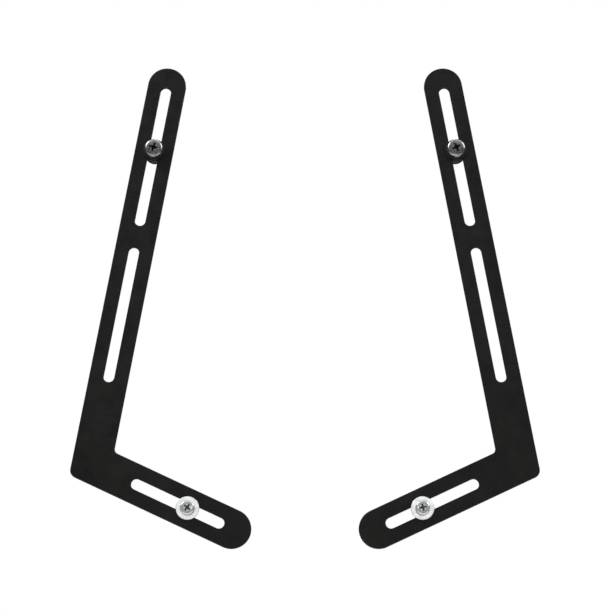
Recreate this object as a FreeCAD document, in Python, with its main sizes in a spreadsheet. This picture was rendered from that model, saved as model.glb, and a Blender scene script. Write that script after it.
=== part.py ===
import FreeCAD, Part
import math
import os
import Sketcher
from FreeCAD import Placement, Rotation, Vector

# Bracket of two flat steel arms, a mirrored pair. Each arm is a strip with a knee in its own plane.
# It is clamped by a screw near the top of its long leg to the device above, and by a screw in its
# short leg to the device that it carries below.
# Frame: X across, Y into the wall, Z up. The origin lies midway between the two upper screws, on the
# plane where the spacers meet the device behind them.

# Driving sizes in millimetres and degrees, kept on the sheet under these names.
SIZES = {
    # steel arm
    "strip_width": (25.4, "width of both legs"),
    "plate_thickness": (3, "thickness of the steel"),
    "long_leg": (270, "long leg, from the knee on the centreline to its round tip"),
    "short_leg": (112, "short leg, from the knee on the centreline to its round tip"),
    "knee_angle": (105, "angle between the two legs"),
    "lean": (10, "lean of the long leg from the vertical, tips inwards"),
    "outer_round": (5, "round of the knee's outer corner"),
    "inner_round": (3.5, "round of the knee's inner corner"),
    "edge_break": (0.4, "chamfer that takes the sharpness off the cut edges, front and back"),
    # slots
    "slot_play": (0.5, "clearance between an upper thread and the sides of its slot"),
    "top_margin": (13.7, "steel between the long leg's tip and the upper slot"),
    "upper_slot": (96.5, "length of the upper slot"),
    "slot_web": (15, "steel between the upper and the middle slot"),
    "middle_slot": (91, "length of the middle slot"),
    "short_slot": (65.5, "length of the short leg's slot"),
    "short_margin": (18, "steel between the short leg's tip and its slot"),
    # places of the screws
    "upper_pitch": (200, "distance between the two upper screws"),
    "lower_pitch": (150, "distance between the two lower screws"),
    "upper_set": (43.8, "where the upper screw is set: its distance from the upper slot's top"),
    # spacers behind the arms
    "spacer_length": (8, "gap between the steel and the devices"),
    "upper_spacer_width": (14, "outside diameter of an upper spacer"),
    "lower_spacer_width": (12, "outside diameter of a lower spacer"),
    "spacer_play": (0.25, "clearance between a thread and its spacer, each side"),
    "spacer_chamfer": (0.6, "chamfer of a spacer's ends"),
    # upper screws, M6
    "upper_thread": (6, "thread diameter"),
    "upper_reach": (12, "thread that goes into the device"),
    "upper_head_width": (12, "diameter of the pan head"),
    "upper_head_height": (4.6, "height of the pan head"),
    "upper_washer_width": (14, "outside diameter of the black washer"),
    "upper_washer_thickness": (1.6, "thickness of the black washer"),
    # lower screws, M5
    "lower_thread": (5, "thread diameter"),
    "lower_reach": (10, "thread that goes into the device"),
    "lower_head_width": (9.5, "diameter of the pan head"),
    "lower_head_height": (3.7, "height of the pan head"),
    "lower_washer_width": (15, "outside diameter of the bright washer"),
    "lower_washer_thickness": (1.2, "thickness of the bright washer"),
    # details that all fasteners share
    "washer_play": (0.2, "clearance between a thread and its washer, each side"),
    "washer_chamfer": (0.25, "chamfer of a washer's outer rims"),
    "shank_relief": (0.3, "how much thinner the clamped shank is than its thread, each side"),
    "end_chamfer": (0.8, "chamfer of a thread's end"),
    "dome_share": (0.12, "how far a head's top drops to its rim, as a share of its height"),
    "rim_share": (0.42, "round of a head's rim, as a share of its height"),
    "wing_share": (0.54, "length of the cross recess, as a share of the head's width"),
    "wing_width_share": (0.11, "width of its wings, as a share of the head's width"),
    "wing_depth_share": (0.5, "depth of its wings, as a share of the head's height"),
    "core_share": (0.26, "mouth of the recess's tapered core, as a share of the head's width"),
    "core_depth_share": (0.72, "depth of that core, as a share of the head's height"),
}

# Angle at which each driven screw came to a stop, in degrees.
SCREW_TURNS = {"left_upper": 18, "right_upper": 64, "left_lower": 37, "right_lower": 78}

# Sizes that follow from the driving ones. Every slot takes the upper screws. The knee hangs below an
# upper screw by HANG along the long leg, and the short leg falls away from it at its own slope.
TIP_RADIUS = "(Sizes.strip_width / 2)"
LONG_REACH = f"(Sizes.long_leg - {TIP_RADIUS})"
SHORT_REACH = f"(Sizes.short_leg - {TIP_RADIUS})"
SLOT_WIDTH = "(Sizes.upper_thread + 2 * Sizes.slot_play)"
HANG = "(Sizes.long_leg - Sizes.top_margin - Sizes.upper_set)"
KNEE_ACROSS = f"(Sizes.upper_pitch / 2 + {HANG} * sin(Sizes.lean))"
KNEE_DROP = f"({HANG} * cos(Sizes.lean))"
SHORT_LEG_SLOPE = "tan(Sizes.knee_angle + Sizes.lean - 90)"
LOWER_DROP = f"({KNEE_DROP} + ({KNEE_ACROSS} - Sizes.lower_pitch / 2) * {SHORT_LEG_SLOPE})"
STEEL_FRONT = "(Sizes.spacer_length + Sizes.plate_thickness)"

SAME_PLACE = 0.01  # tolerance for finding an edge or a face by its place, mm

os.makedirs("parts", exist_ok=True)
doc = FreeCAD.newDocument("bracket")

sheet = doc.addObject("Spreadsheet::Sheet", "Sizes")
for row, (name, (value, meaning)) in enumerate(SIZES.items(), start=1):
    sheet.set(f"A{row}", name)
    sheet.set(f"B{row}", str(value))
    sheet.set(f"C{row}", meaning)
    sheet.setAlias(f"B{row}", name)
doc.recompute()


def number(expression):
    """Value of an expression on the sheet, such as 'Sizes.slot_width / 2'."""
    return float(sheet.evalExpression(expression))


def new_body(label):
    """Empty sub-part, labelled with the name of its node."""
    body = doc.addObject("PartDesign::Body", label)
    body.Label = label
    return body


def new_sketch(body, name, plane):
    """Empty sketch on one of the body's own origin planes."""
    sketch = body.newObject("Sketcher::SketchObject", f"{body.Label}_{name}")
    support = next(item for item in body.Origin.OriginFeatures if item.Role == plane)
    sketch.AttachmentSupport = [(support, "")]
    sketch.MapMode = "FlatFace"
    return sketch


def bind(sketch, constraint, name, expression):
    """Add a dimension to the sketch and bind it to the sheet."""
    index = sketch.addConstraint(constraint)
    sketch.renameConstraint(index, name)
    sketch.setExpression(f"Constraints.{name}", expression)


def pin(sketch, line, end, name, across, along):
    """Fix one end of a line at (across, along), two expressions; 0 lies on the axis itself."""
    if across == "0":
        sketch.addConstraint(Sketcher.Constraint("PointOnObject", line, end, -2))
    else:
        distance = Sketcher.Constraint("DistanceX", -1, 1, line, end, number(across))
        bind(sketch, distance, f"{name}_across", across)
    if along == "0":
        sketch.addConstraint(Sketcher.Constraint("PointOnObject", line, end, -1))
    else:
        distance = Sketcher.Constraint("DistanceY", -1, 1, line, end, number(along))
        bind(sketch, distance, f"{name}_along", along)


def dome_arc(apex, rim):
    """Arc from a dome's apex on the vertical axis to its rim, centred on that axis."""
    drop = rim.y - apex.y
    radius = (rim.x**2 + drop**2) / (2 * drop)
    centre = apex + Vector(0, radius, 0)
    rim_angle = math.atan2(rim.y - centre.y, rim.x)
    return Part.ArcOfCircle(Part.Circle(centre, Vector(0, 0, 1), radius), -math.pi / 2, rim_angle)


def chain(sketch, corners, domed=False):
    """Closed outline through corners given as pairs of expressions.

    Its stretches are straight, except that a domed outline starts with an arc from its apex.
    """
    points = [Vector(number(across), number(along), 0) for across, along in corners]
    ends = points[1:] + points[:1]
    stretches = [Part.LineSegment(a, b) for a, b in zip(points, ends)]
    if domed:
        stretches[0] = dome_arc(points[0], points[1])
    lines = [sketch.addGeometry(stretch) for stretch in stretches]
    if domed:
        sketch.addConstraint(Sketcher.Constraint("PointOnObject", lines[0], 3, -2))
    for here, after in zip(lines, lines[1:] + lines[:1]):
        sketch.addConstraint(Sketcher.Constraint("Coincident", here, 2, after, 1))
    for line, (across, along) in zip(lines, corners):
        pin(sketch, line, 1, f"corner{line}", across, along)


def revolve(body, sketch, kind="PartDesign::Revolution"):
    """Turn a sketch fully about its vertical axis."""
    turned = body.newObject(kind, f"{sketch.Name}_turned")
    turned.Profile = sketch
    turned.ReferenceAxis = (sketch, ["V_Axis"])
    turned.Angle = 360
    doc.recompute()
    return turned


def face_names(shape, test):
    """Names of the faces that pass a test."""
    return [f"Face{index}" for index, face in enumerate(shape.Faces, start=1) if test(face)]


def edge_names(shape, test):
    """Names of the edges that pass a test."""
    return [f"Edge{index}" for index, edge in enumerate(shape.Edges, start=1) if test(edge)]


def round_off(body, base, names, radius, label):
    """Fillet the named edges."""
    fillet = body.newObject("PartDesign::Fillet", f"{body.Label}_{label}")
    fillet.Base = (base, names)
    fillet.setExpression("Radius", radius)
    doc.recompute()
    return fillet


def legs(sketch):
    """Centrelines of both legs as construction lines from the knee, and their directions."""
    knee = math.radians(number("Sizes.knee_angle"))
    long_way = Vector(0, 1, 0)
    short_way = Vector(math.sin(knee), math.cos(knee), 0)
    lines = []
    for name, way, reach in (("long", long_way, LONG_REACH), ("short", short_way, SHORT_REACH)):
        line = sketch.addGeometry(Part.LineSegment(Vector(), way * number(reach)), True)
        sketch.addConstraint(Sketcher.Constraint("Coincident", line, 1, -1, 1))
        bind(sketch, Sketcher.Constraint("Distance", line, number(reach)), f"{name}_reach", reach)
        lines.append(line)
    long_line, short_line = lines
    sketch.addConstraint(Sketcher.Constraint("Vertical", long_line))
    between = Sketcher.Constraint("Angle", short_line, 1, long_line, 1, knee)
    bind(sketch, between, "knee", "Sizes.knee_angle")
    return long_line, short_line, long_way, short_way


def draw_arm_outline(sketch):
    """Outline of the arm: two parallel-sided legs with full-round tips and a mitred knee."""
    long_line, short_line, long_way, short_way = legs(sketch)
    half = number(TIP_RADIUS)
    knee = math.radians(number("Sizes.knee_angle"))
    mitre = half / math.sin(knee / 2)
    inner_corner = Vector(math.sin(knee / 2), math.cos(knee / 2), 0) * mitre
    outer_corner = inner_corner * -1
    normal = Vector(0, 0, 1)
    long_circle = Part.Circle(long_way * number(LONG_REACH), normal, half)
    short_circle = Part.Circle(short_way * number(SHORT_REACH), normal, half)
    long_tip = sketch.addGeometry(Part.ArcOfCircle(long_circle, 0, math.pi))
    short_tip = sketch.addGeometry(Part.ArcOfCircle(short_circle, -knee, math.pi - knee))
    tip_start = {item: sketch.getPoint(item, 1) for item in (long_tip, short_tip)}
    tip_end = {item: sketch.getPoint(item, 2) for item in (long_tip, short_tip)}
    long_outer = sketch.addGeometry(Part.LineSegment(tip_end[long_tip], outer_corner))
    short_outer = sketch.addGeometry(Part.LineSegment(outer_corner, tip_start[short_tip]))
    short_inner = sketch.addGeometry(Part.LineSegment(tip_end[short_tip], inner_corner))
    long_inner = sketch.addGeometry(Part.LineSegment(inner_corner, tip_start[long_tip]))
    for tip, line in ((long_tip, long_line), (short_tip, short_line)):
        sketch.addConstraint(Sketcher.Constraint("Coincident", tip, 3, line, 2))
    sketch.addConstraint(Sketcher.Constraint("Equal", long_tip, short_tip))
    bind(sketch, Sketcher.Constraint("Radius", long_tip, half), "tip", TIP_RADIUS)
    for tip, tip_point, side, side_point in (
        (long_tip, 2, long_outer, 1),
        (short_tip, 1, short_outer, 2),
        (short_tip, 2, short_inner, 1),
        (long_tip, 1, long_inner, 2),
    ):
        sketch.addConstraint(Sketcher.Constraint("Tangent", tip, tip_point, side, side_point))
    sketch.addConstraint(Sketcher.Constraint("Coincident", long_outer, 2, short_outer, 1))
    sketch.addConstraint(Sketcher.Constraint("Coincident", short_inner, 2, long_inner, 1))
    for side, line in (
        (long_outer, long_line),
        (long_inner, long_line),
        (short_outer, short_line),
        (short_inner, short_line),
    ):
        sketch.addConstraint(Sketcher.Constraint("Parallel", side, line))
    return inner_corner, outer_corner


def draw_slot(sketch, line, way, name, far, near):
    """Round-ended slot on a leg; far and near are its end centres' distances from the knee."""
    half = number(f"{SLOT_WIDTH} / 2")
    heading = math.atan2(way.y, way.x)
    quarter = math.pi / 2
    far_centre = way * number(far)
    near_centre = way * number(near)
    normal = Vector(0, 0, 1)
    far_circle = Part.Circle(far_centre, normal, half)
    near_circle = Part.Circle(near_centre, normal, half)
    far_arc = sketch.addGeometry(Part.ArcOfCircle(far_circle, heading - quarter, heading + quarter))
    near_arc = sketch.addGeometry(
        Part.ArcOfCircle(near_circle, heading + quarter, heading + 3 * quarter)
    )
    side = Vector(-way.y, way.x, 0) * half
    left = sketch.addGeometry(Part.LineSegment(far_centre + side, near_centre + side))
    right = sketch.addGeometry(Part.LineSegment(near_centre - side, far_centre - side))
    for first, first_point, second, second_point in (
        (far_arc, 2, left, 1),
        (left, 2, near_arc, 1),
        (near_arc, 2, right, 1),
        (right, 2, far_arc, 1),
    ):
        touch = Sketcher.Constraint("Tangent", first, first_point, second, second_point)
        sketch.addConstraint(touch)
    sketch.addConstraint(Sketcher.Constraint("Equal", far_arc, near_arc))
    bind(sketch, Sketcher.Constraint("Radius", far_arc, half), f"{name}_end", f"{SLOT_WIDTH} / 2")
    for arc, distance, end in ((far_arc, far, "far"), (near_arc, near, "near")):
        sketch.addConstraint(Sketcher.Constraint("PointOnObject", arc, 3, line))
        reach = Sketcher.Constraint("Distance", -1, 1, arc, 3, number(distance))
        bind(sketch, reach, f"{name}_{end}", distance)


def make_arm(label):
    """Left arm: cut plate with three slots, rounded knee and broken edges.

    Its own origin is the knee on the centreline, half-way through the steel.
    """
    body = new_body(label)
    outline = new_sketch(body, "outline", "XZ_Plane")
    inner_corner, outer_corner = draw_arm_outline(outline)
    plate = body.newObject("PartDesign::Pad", f"{label}_plate")
    plate.Profile = outline
    plate.SideType = "Symmetric"
    plate.setExpression("Length", "Sizes.plate_thickness")
    doc.recompute()

    def corner_edge(corner):
        """Test for the edge through the thickness at a corner of the outline."""
        place = Vector(corner.x, 0, corner.y)
        return lambda edge: (edge.CenterOfMass - place).Length < SAME_PLACE

    outer = round_off(
        body, plate, edge_names(plate.Shape, corner_edge(outer_corner)), "Sizes.outer_round", "outer"
    )
    inner = round_off(
        body, outer, edge_names(outer.Shape, corner_edge(inner_corner)), "Sizes.inner_round", "inner"
    )

    slots = new_sketch(body, "slots", "XZ_Plane")
    long_line, short_line, long_way, short_way = legs(slots)
    upper_far = f"Sizes.long_leg - Sizes.top_margin - {SLOT_WIDTH} / 2"
    upper_near = f"{upper_far} - (Sizes.upper_slot - {SLOT_WIDTH})"
    middle_far = f"{upper_near} - {SLOT_WIDTH} - Sizes.slot_web"
    middle_near = f"{middle_far} - (Sizes.middle_slot - {SLOT_WIDTH})"
    short_far = f"Sizes.short_leg - Sizes.short_margin - {SLOT_WIDTH} / 2"
    short_near = f"{short_far} - (Sizes.short_slot - {SLOT_WIDTH})"
    draw_slot(slots, long_line, long_way, "upper", upper_far, upper_near)
    draw_slot(slots, long_line, long_way, "middle", middle_far, middle_near)
    draw_slot(slots, short_line, short_way, "short", short_far, short_near)
    cut = body.newObject("PartDesign::Pocket", f"{label}_slot_cut")
    cut.Profile = slots
    cut.SideType = "Symmetric"
    cut.Type = "ThroughAll"
    doc.recompute()
    steel_removed = inner.Shape.Volume - cut.Shape.Volume
    if steel_removed < number(f"{SLOT_WIDTH} * Sizes.plate_thickness * Sizes.short_slot"):
        raise RuntimeError("the slots were not cut")

    half_thickness = number("Sizes.plate_thickness / 2")
    broad = face_names(
        cut.Shape, lambda face: abs(abs(face.CenterOfMass.y) - half_thickness) < SAME_PLACE
    )
    broken = body.newObject("PartDesign::Chamfer", f"{label}_edge_break")
    broken.Base = (cut, broad)
    broken.setExpression("Size", "Sizes.edge_break")
    doc.recompute()

    body.Placement = Placement(Vector(), Rotation(Vector(0, 1, 0), number("Sizes.lean")))
    body.setExpression("Placement.Rotation.Angle", "Sizes.lean")
    body.setExpression("Placement.Base.x", f"-{KNEE_ACROSS}")
    body.setExpression("Placement.Base.y", "-(Sizes.spacer_length + Sizes.plate_thickness / 2)")
    body.setExpression("Placement.Base.z", f"-{KNEE_DROP}")
    return body


def make_mirrored_arm(label, source):
    """Right arm: the left one's mirror image in the plane midway between them."""
    mirrored = doc.addObject("Part::Mirroring", label)
    mirrored.Label = label
    mirrored.Source = source
    mirrored.Base = Vector()
    mirrored.Normal = Vector(1, 0, 0)
    return mirrored


def place(body, across, depth, height, turn=0):
    """Put a turned piece on its screw's axis; depth is that of its front face."""
    body.Placement = Placement(Vector(), Rotation(Vector(0, 1, 0), turn))
    body.setExpression("Placement.Base.x", across)
    body.setExpression("Placement.Base.y", depth)
    body.setExpression("Placement.Base.z", height)


def make_ring(label, bore, width, length, chamfer):
    """Washer or spacer sleeve: a plain ring with chamfered outer rims, its front face at y 0."""
    body = new_body(label)
    section = new_sketch(body, "section", "XY_Plane")
    inside = f"({bore}) / 2"
    outside = f"({width}) / 2"
    chain(
        section,
        [
            (inside, "0"),
            (f"{outside} - {chamfer}", "0"),
            (outside, chamfer),
            (outside, f"{length} - {chamfer}"),
            (f"{outside} - {chamfer}", length),
            (inside, length),
        ],
    )
    revolve(body, section)
    return body


def draw_centred_rectangle(sketch, length, width):
    """Rectangle centred on the sketch's origin, its length and width given as expressions."""
    half_length = number(length) / 2
    half_width = number(width) / 2
    corners = [
        Vector(-half_length, -half_width, 0),
        Vector(half_length, -half_width, 0),
        Vector(half_length, half_width, 0),
        Vector(-half_length, half_width, 0),
    ]
    ends = corners[1:] + corners[:1]
    sides = [sketch.addGeometry(Part.LineSegment(a, b)) for a, b in zip(corners, ends)]
    for here, after in zip(sides, sides[1:] + sides[:1]):
        sketch.addConstraint(Sketcher.Constraint("Coincident", here, 2, after, 1))
    for side, direction in zip(sides, ("Horizontal", "Vertical", "Horizontal", "Vertical")):
        sketch.addConstraint(Sketcher.Constraint(direction, side))
    sketch.addConstraint(Sketcher.Constraint("Symmetric", sides[0], 1, sides[1], 2, -1, 1))
    bind(sketch, Sketcher.Constraint("Distance", sides[0], 2 * half_length), "length", length)
    bind(sketch, Sketcher.Constraint("Distance", sides[1], 2 * half_width), "width", width)


def cut_cross_recess(body, head, head_width, head_height):
    """Cross recess in a head's top: a tapered core and two crossed wings."""
    core = new_sketch(body, "core", "XY_Plane")
    mouth = f"{head_width} * Sizes.core_share / 2"
    depth = f"{head_height} * Sizes.core_depth_share"
    chain(core, [("0", "0"), (mouth, "0"), (f"{mouth} / 2", depth), ("0", depth)])
    cored = revolve(body, core, "PartDesign::Groove")

    wing = new_sketch(body, "wing", "XZ_Plane")
    draw_centred_rectangle(
        wing, f"{head_width} * Sizes.wing_share", f"{head_width} * Sizes.wing_width_share"
    )
    wing_cut = body.newObject("PartDesign::Pocket", f"{body.Label}_wing_cut")
    wing_cut.Profile = wing
    wing_cut.setExpression("Length", f"{head_height} * Sizes.wing_depth_share")
    doc.recompute()
    cross = body.newObject("PartDesign::PolarPattern", f"{body.Label}_cross")
    cross.Originals = [wing_cut]
    cross.Axis = (wing, ["N_Axis"])
    cross.Angle = 90
    cross.Occurrences = 2
    body.Tip = cross
    doc.recompute()
    if not cross.Shape.Volume < wing_cut.Shape.Volume < cored.Shape.Volume < head.Shape.Volume:
        raise RuntimeError(f"the recess of {body.Label} was not cut")


def make_screw(label, kind, grip):
    """Pan-head screw with a cross recess, its head's top at y 0 and its thread's end at the back.

    kind is 'upper' or 'lower' and picks the sizes. Through grip, what the head clamps, the rolled
    shank is thinner than the thread, which starts where it enters the device.
    """
    body = new_body(label)
    head_width = f"Sizes.{kind}_head_width"
    head_height = f"Sizes.{kind}_head_height"
    head_edge = f"{head_width} / 2"
    thread = f"Sizes.{kind}_thread / 2"
    shank = f"{thread} - Sizes.shank_relief"
    dome = f"{head_height} * Sizes.dome_share"
    entry = f"{head_height} + {grip}"
    end = f"{entry} + Sizes.{kind}_reach"

    section = new_sketch(body, "section", "XY_Plane")
    chain(
        section,
        [
            ("0", "0"),
            (head_edge, dome),
            (head_edge, head_height),
            (shank, head_height),
            (shank, entry),
            (thread, entry),
            (thread, f"{end} - Sizes.end_chamfer"),
            (f"{thread} - Sizes.end_chamfer", end),
            ("0", end),
        ],
        domed=True,
    )
    turned = revolve(body, section)

    head_radius = number(head_edge)
    dome_depth = number(dome)
    rim = edge_names(
        turned.Shape,
        lambda edge: not edge.Degenerated
        and isinstance(edge.Curve, Part.Circle)
        and abs(edge.Curve.Radius - head_radius) < SAME_PLACE
        and abs(edge.Curve.Center.y - dome_depth) < SAME_PLACE,
    )
    rounded = round_off(body, turned, rim, f"{head_height} * Sizes.rim_share", "rim")

    cut_cross_recess(body, rounded, head_width, head_height)
    return body


HEIGHTS = {"upper": "0", "lower": f"-{LOWER_DROP}"}

left_arm = make_arm("left_arm")
nodes = [left_arm, make_mirrored_arm("right_arm", left_arm)]

for side, sign in (("left", "-"), ("right", "")):
    for kind in ("upper", "lower"):
        stem = f"{side}_{kind}"
        across = f"{sign}Sizes.{kind}_pitch / 2"
        thread = f"Sizes.{kind}_thread"
        washer_thickness = f"Sizes.{kind}_washer_thickness"
        screw_depth = f"-({STEEL_FRONT} + {washer_thickness} + Sizes.{kind}_head_height)"
        washer_depth = f"-({STEEL_FRONT} + {washer_thickness})"

        grip = f"{washer_thickness} + Sizes.plate_thickness + Sizes.spacer_length"
        screw = make_screw(f"{stem}_screw", kind, grip)
        place(screw, across, screw_depth, HEIGHTS[kind], SCREW_TURNS[stem])

        washer_bore = f"{thread} + 2 * Sizes.washer_play"
        washer = make_ring(
            f"{stem}_washer",
            washer_bore,
            f"Sizes.{kind}_washer_width",
            washer_thickness,
            "Sizes.washer_chamfer",
        )
        place(washer, across, washer_depth, HEIGHTS[kind])

        spacer_bore = f"{thread} + 2 * Sizes.spacer_play"
        spacer = make_ring(
            f"{stem}_spacer",
            spacer_bore,
            f"Sizes.{kind}_spacer_width",
            "Sizes.spacer_length",
            "Sizes.spacer_chamfer",
        )
        place(spacer, across, "-Sizes.spacer_length", HEIGHTS[kind])
        nodes += [screw, washer, spacer]

doc.recompute()

for item in doc.Objects:
    if "Invalid" in item.State or "Error" in item.State:
        raise RuntimeError(f"{item.Label} failed: {item.State}")
    if item.TypeId == "Sketcher::SketchObject" and not item.FullyConstrained:
        raise RuntimeError(f"{item.Label} is not fully constrained")
for node in nodes:
    if node.Shape.isNull() or not node.Shape.isValid() or len(node.Shape.Solids) != 1:
        raise RuntimeError(f"{node.Label} is not one valid solid")

for node in nodes:
    node.Shape.exportStep(f"parts/{node.Label}.step")
    print(f"{node.Label}: {node.Shape.Volume:.1f} mm3")
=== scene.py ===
import itertools
import logging
import math
from dataclasses import dataclass
from enum import Enum
from typing import Any, Callable, Iterator

import bmesh
import bpy
from mathutils import Matrix, Vector


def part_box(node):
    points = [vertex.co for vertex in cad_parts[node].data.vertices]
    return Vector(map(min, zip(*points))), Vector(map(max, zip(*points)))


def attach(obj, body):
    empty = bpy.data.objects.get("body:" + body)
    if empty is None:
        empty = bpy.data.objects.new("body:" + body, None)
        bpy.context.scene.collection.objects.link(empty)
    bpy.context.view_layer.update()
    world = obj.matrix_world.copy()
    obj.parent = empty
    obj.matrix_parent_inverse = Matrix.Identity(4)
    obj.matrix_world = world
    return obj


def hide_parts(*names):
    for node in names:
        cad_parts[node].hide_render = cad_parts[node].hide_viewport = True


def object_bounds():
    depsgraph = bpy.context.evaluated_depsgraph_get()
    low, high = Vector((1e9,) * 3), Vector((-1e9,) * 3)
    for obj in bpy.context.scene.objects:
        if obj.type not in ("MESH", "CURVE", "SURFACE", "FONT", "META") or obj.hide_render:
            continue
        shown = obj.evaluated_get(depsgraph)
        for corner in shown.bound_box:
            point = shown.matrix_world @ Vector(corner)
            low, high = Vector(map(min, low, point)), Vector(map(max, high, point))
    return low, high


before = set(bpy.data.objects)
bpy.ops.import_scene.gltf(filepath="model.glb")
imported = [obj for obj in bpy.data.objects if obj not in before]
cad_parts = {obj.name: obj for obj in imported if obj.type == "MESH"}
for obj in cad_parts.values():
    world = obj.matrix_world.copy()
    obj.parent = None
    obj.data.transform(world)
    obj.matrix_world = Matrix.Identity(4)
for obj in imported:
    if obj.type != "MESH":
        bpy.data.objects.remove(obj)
CAD_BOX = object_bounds()

log = logging.getLogger("bracket")

MM = 0.001  # one millimetre in the frame's metres
LOW, HIGH = 0.34, 0.66  # a cloud's noise lies between these nearly everywhere
BODY = "root"  # the bracket has no joint, so all its pieces ride on one body
SOFT, FINE = 1.0, 2.0  # detail of a bump's noise: rounded, or with finer grain on it
SMALL_ROUND_STEP = 22.5  # degrees between the facets of a small round
SHARP_ANGLE = 38  # degrees: an edge that turns further stays sharp
BY_LARGEST_FACE = 100  # weight at which a smooth corner follows its largest face
RIM = "rim"  # mesh attribute of an arm: 0 on a broad face, 1 where it has turned round an edge
PIT = "pit"  # mesh attribute of a screw: 1 down in the recess of its head, 0 elsewhere; it masks the painted shade there


class Slot(Enum):
    """Material slots of the record that the pieces take their finish from."""

    POWDER_COAT = "powder_coat"
    ZINC_PLATE = "zinc_plate"
    BLACK_NYLON = "black_nylon"
    SPACER_PLASTIC = "spacer_plastic"


class Side(Enum):
    """The two arms of the pair; the value is the sign of their X."""

    LEFT = -1
    RIGHT = 1

    @property
    def label(self) -> str:
        """Word that the side's node names start with."""
        return self.name.lower()


class Tier(Enum):
    """The two heights at which a screw clamps an arm."""

    UPPER = "upper"
    LOWER = "lower"


# Shader helpers


def linear(hex_colour: str) -> tuple[float, float, float, float]:
    """Turn an sRGB colour into the linear one that shaders use.

    Args:
        hex_colour: the colour as '#RRGGBB'.

    Returns:
        Red, green and blue as linear values, and an alpha of 1.
    """
    channels = [int(hex_colour[i : i + 2], 16) / 255 for i in (1, 3, 5)]
    red, green, blue = (c / 12.92 if c <= 0.04045 else ((c + 0.055) / 1.055) ** 2.4 for c in channels)
    return red, green, blue, 1.0


def add(tree: bpy.types.NodeTree, kind: str, inputs: dict[Any, Any], **settings: Any) -> bpy.types.Node:
    """Add one node with its settings, values and links.

    Args:
        tree: the node tree that gets the node.
        kind: the node's type name without 'ShaderNode'.
        inputs: an input's name or number, with its value or the output socket that feeds it.
        **settings: properties of the node itself.

    Returns:
        The new node.
    """
    node = tree.nodes.new(f"ShaderNode{kind}")
    for name, value in settings.items():
        setattr(node, name, value)
    for name, value in inputs.items():
        if isinstance(value, bpy.types.NodeSocket):
            tree.links.new(value, node.inputs[name])
        else:
            node.inputs[name].default_value = value
    return node


def per_metre(size_mm: float) -> float:
    """Texture scale at which one feature measures size_mm."""
    return 1 / (size_mm * MM)


@dataclass(frozen=True)
class Canvas:
    """What the layers of one material are added to.

    Attributes:
        tree: the material's node tree.
        place: output that gives each point's place in the frame, in metres.
        shader: the surface shader.
    """

    tree: bpy.types.NodeTree
    place: bpy.types.NodeSocket
    shader: bpy.types.Node

    def cloud(self, size_mm: float, detail: float = 3.0) -> bpy.types.NodeSocket:
        """Soft random patches.

        Args:
            size_mm: size of one patch.
            detail: how many finer octaves break its outline.

        Returns:
            Output from 0 to 1, nearly all of it between LOW and HIGH.
        """
        inputs = {"Vector": self.place, "Scale": per_metre(size_mm), "Detail": detail}
        return add(self.tree, "TexNoise", inputs).outputs["Fac"]

    def tint(self, fac: bpy.types.NodeSocket, low: str, high: str) -> bpy.types.NodeSocket:
        """Blend between two colours.

        Args:
            fac: a cloud.
            low: sRGB colour of its low patches.
            high: sRGB colour of its high patches.

        Returns:
            The blended colour.
        """
        ramp = add(self.tree, "ValToRGB", {"Fac": fac})
        first, last = ramp.color_ramp.elements
        first.position, first.color = LOW, linear(low)
        last.position, last.color = HIGH, linear(high)
        return ramp.outputs["Color"]

    def toward(self, attribute: str, colour: bpy.types.NodeSocket, goal: str) -> bpy.types.NodeSocket:
        """Turn a colour to another one where a mesh attribute is 1.

        Args:
            attribute: the attribute's name.
            colour: the colour where it is 0.
            goal: sRGB colour where it is 1.

        Returns:
            The blended colour.
        """
        share = add(self.tree, "Attribute", {}, attribute_name=attribute).outputs["Fac"]
        # A Mix node's colour sockets share their names with others, so they go by number.
        blend = add(self.tree, "Mix", {0: share, 6: colour, 7: linear(goal)}, data_type="RGBA")
        return blend.outputs[2]

    def spread(self, fac: bpy.types.NodeSocket, low: float, high: float) -> bpy.types.NodeSocket:
        """Stretch a cloud to a range.

        Args:
            fac: the cloud.
            low: value of its low patches.
            high: value of its high patches.

        Returns:
            The stretched value.
        """
        inputs = {"Value": fac, "From Min": LOW, "From Max": HIGH, "To Min": low, "To Max": high}
        return add(self.tree, "MapRange", inputs).outputs["Result"]

    def feed(self, socket: str, value: bpy.types.NodeSocket) -> None:
        """Link a value to one of the shader's sockets."""
        self.tree.links.new(value, self.shader.inputs[socket])

    def relief(self, *bumps: tuple[bpy.types.NodeSocket, float]) -> None:
        """Bend the light by one bump on top of another.

        Args:
            *bumps: each a cloud and its real depth in millimetres.
        """
        normal = None
        for height, depth_mm in bumps:
            inputs = {"Height": height, "Distance": depth_mm * MM / (HIGH - LOW)}
            if normal:
                inputs["Normal"] = normal
            normal = add(self.tree, "Bump", inputs).outputs["Normal"]
        self.feed("Normal", normal)


# Finishes


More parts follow.
